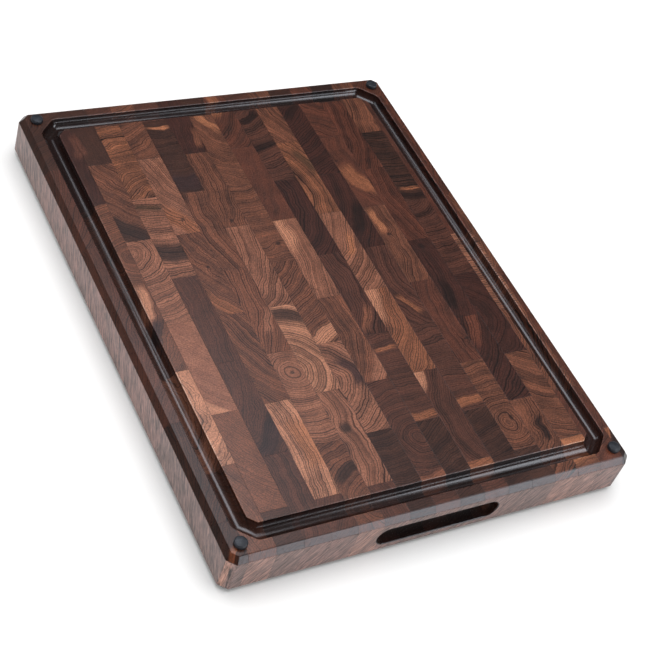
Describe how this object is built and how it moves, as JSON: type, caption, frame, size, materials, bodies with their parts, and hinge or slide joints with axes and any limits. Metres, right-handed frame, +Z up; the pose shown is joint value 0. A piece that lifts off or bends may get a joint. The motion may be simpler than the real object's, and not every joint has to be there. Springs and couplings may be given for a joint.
{
  "type": "cutting board",
  "caption": "Thick rectangular end-grain walnut cutting board with a juice groove, finger recesses in its short ends and rubber feet at the groove side's corners.",
  "frame": {"origin": "middle of the flat underside", "axes": "+X across the board's width, +Y along its length and its rows of blocks, +Z up out of the grooved face"},
  "size_m": [0.3302, 0.4318, 0.0418],
  "materials": {
    "walnut": "oiled satin",
    "foot_rubber": "smooth satin"
  },
  "bodies": {
    "root": {"row_01_front": "walnut", "row_01_middle": "walnut", "row_01_back": "walnut", "row_02_front": "walnut", "row_02_middle": "walnut", "row_02_back": "walnut", "row_03_front": "walnut", "row_03_middle": "walnut", "row_03_back": "walnut", "row_04_front": "walnut", "row_04_middle": "walnut", "row_04_back": "walnut", "row_05_front": "walnut", "row_05_middle": "walnut", "row_05_back": "walnut", "row_06_front": "walnut", "row_06_middle": "walnut", "row_06_back": "walnut", "row_07_front": "walnut", "row_07_middle": "walnut", "row_07_back": "walnut", "row_08_front": "walnut", "row_08_middle": "walnut", "row_08_back": "walnut", "row_09_front": "walnut", "row_09_middle": "walnut", "row_09_back": "walnut", "row_10_front": "walnut", "row_10_middle": "walnut", "row_10_back": "walnut", "row_11_front": "walnut", "row_11_middle": "walnut", "row_11_back": "walnut", "row_12_front": "walnut", "row_12_middle": "walnut", "row_12_back": "walnut", "row_13_front": "walnut", "row_13_middle": "walnut", "row_13_back": "walnut", "row_14_front": "walnut", "row_14_middle": "walnut", "row_14_back": "walnut", "row_15_front": "walnut", "row_15_middle": "walnut", "row_15_back": "walnut", "row_16_front": "walnut", "row_16_middle": "walnut", "row_16_back": "walnut", "row_17_front": "walnut", "row_17_middle": "walnut", "row_17_back": "walnut", "foot_front_left": "foot_rubber", "foot_front_right": "foot_rubber", "foot_back_left": "foot_rubber", "foot_back_right": "foot_rubber"}
  },
  "joints": []
}
